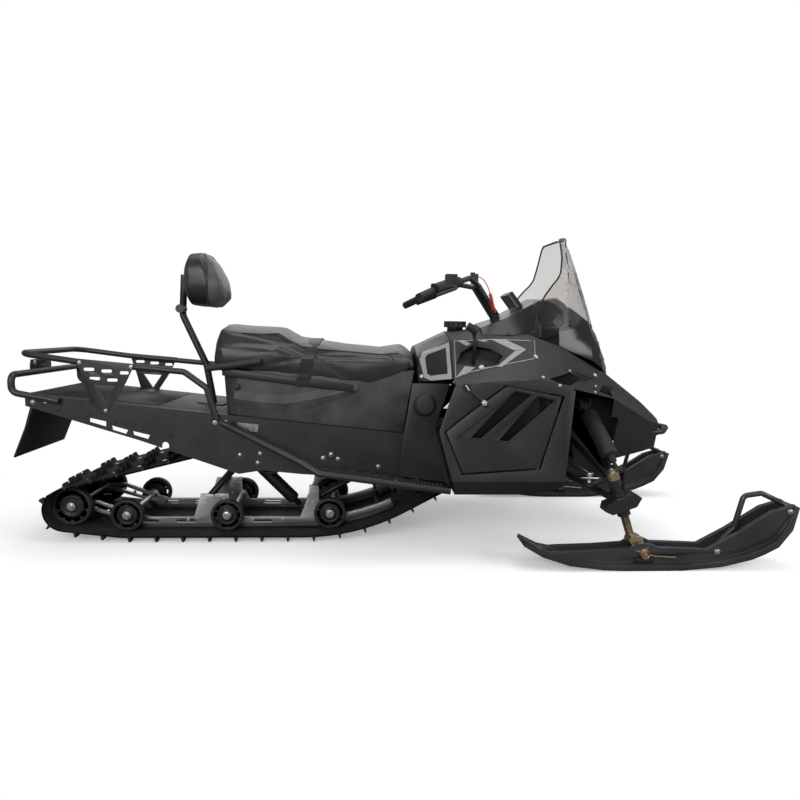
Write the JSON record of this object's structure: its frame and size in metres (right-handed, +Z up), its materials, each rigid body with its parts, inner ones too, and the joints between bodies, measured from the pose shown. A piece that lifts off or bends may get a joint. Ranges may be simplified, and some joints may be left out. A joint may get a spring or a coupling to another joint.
{
  "type": "utility snowmobile",
  "caption": "Long-track utility snowmobile with two steered skis, two-up seat, backrest, cargo rail, windshield and hinged side panels.",
  "frame": {"origin": "middle of the footprint on the snow, under the machine", "axes": "+X to the nose, +Y to the rider's left, +Z up"},
  "size_m": [3.006, 1.13, 1.256],
  "materials": {
    "plastic": "moulded black plastic, fine grain",
    "gloss": "dark glossy plastic",
    "frame": "satin black powder coat",
    "aluminium": "extruded and milled",
    "steel": "zinc plated and turned",
    "rubber": "moulded rubber",
    "seat_vinyl": "coated seat cloth",
    "clear": "light smoke polycarbonate",
    "webbing": "woven strap",
    "red": "red coiled lanyard"
  },
  "bodies": {
    "chassis": {"tunnel": "frame", "running_boards": "frame", "belly_shell": "plastic", "knee_cover": "plastic", "hood": "plastic", "nose_cone": "plastic", "bulkhead": "frame", "engine": "aluminium", "lamp_pod": "gloss", "windshield": "clear", "console": "plastic", "tank_cover": "plastic", "fuel_cap": "plastic", "seat": "seat_vinyl", "seat_base": "plastic", "seat_strap": "webbing", "seat_trim": "plastic", "rack_tubes": "frame", "rack_plates": "frame", "tail_light": "gloss", "rear_bumper": "frame", "mud_flap": "rubber", "tow_hitch": "frame", "backrest_post": "frame", "backrest_pad": "seat_vinyl", "grab_handles": "rubber", "slide_rails": "aluminium", "slide_shoes": "plastic", "rail_arms": "frame", "rail_shocks": "steel", "wheel_axles": "steel", "idler_wheels": "rubber", "rail_wheels": "rubber", "carrier_wheels": "rubber", "drive_axle": "plastic", "track": "rubber", "front_bumper": "frame", "front_arms": "frame", "front_shocks": "steel", "steering_post": "steel", "gear_lever": "plastic"},
    "steering": {"handlebar": "frame", "hand_grips": "rubber", "stop_switch": "plastic", "stop_lanyard": "red"},
    "tie_rod_link": {"tie_rods": "steel"},
    "spindle_right": {"spindle_right": "steel"},
    "spindle_left": {"spindle_left": "steel"},
    "ski_right": {"ski_right": "plastic"},
    "ski_left": {"ski_left": "plastic"},
    "door_right": {"door_right": "plastic", "latch_right": "rubber"},
    "door_left": {"door_left": "plastic", "latch_left": "rubber"}
  },
  "joints": [
    {"name": "handlebar_turn", "type": "hinge", "parent": "chassis", "child": "steering", "pos_m": [0.448, 0, 0.907], "axis": [-0.5591, 0, 0.8291], "range_deg": [-35, 35]},
    {"name": "tie_rod_slide", "type": "slide", "parent": "chassis", "child": "tie_rod_link", "axis": [0, 1, 0], "range_m": [-0.043, 0.043]},
    {"name": "spindle_right_turn", "type": "hinge", "parent": "chassis", "child": "spindle_right", "pos_m": [0.883, -0.49, 0.085], "axis": [-0.3302, 0, 0.9439], "range_deg": [-30.2, 30.2]},
    {"name": "ski_right_rock", "type": "hinge", "parent": "spindle_right", "child": "ski_right", "pos_m": [0.911, -0.49, 0.055], "axis": [0, -1, 0], "range_deg": [-8, 15]},
    {"name": "door_right_swing", "type": "hinge", "parent": "chassis", "child": "door_right", "pos_m": [0.53441, -0.42448, 0.37199], "axis": [0.3112, 0.1117, 0.9438], "range_deg": [0, 70]},
    {"name": "spindle_left_turn", "type": "hinge", "parent": "chassis", "child": "spindle_left", "pos_m": [0.883, 0.49, 0.085], "axis": [-0.3302, 0, 0.9439], "range_deg": [-30.2, 30.2]},
    {"name": "ski_left_rock", "type": "hinge", "parent": "spindle_left", "child": "ski_left", "pos_m": [0.911, 0.49, 0.055], "axis": [0, -1, 0], "range_deg": [-8, 15]},
    {"name": "door_left_swing", "type": "hinge", "parent": "chassis", "child": "door_left", "pos_m": [0.53441, 0.42448, 0.37199], "axis": [-0.3112, 0.1117, -0.9438], "range_deg": [0, 70]}
  ],
  "couplings": [
    {"joint": "spindle_right_turn", "follows": "handlebar_turn", "ratio": 0.857},
    {"joint": "spindle_left_turn", "follows": "handlebar_turn", "ratio": 0.857},
    {"joint": "tie_rod_slide", "follows": "handlebar_turn", "m_per_rad": -0.0684}
  ]
}
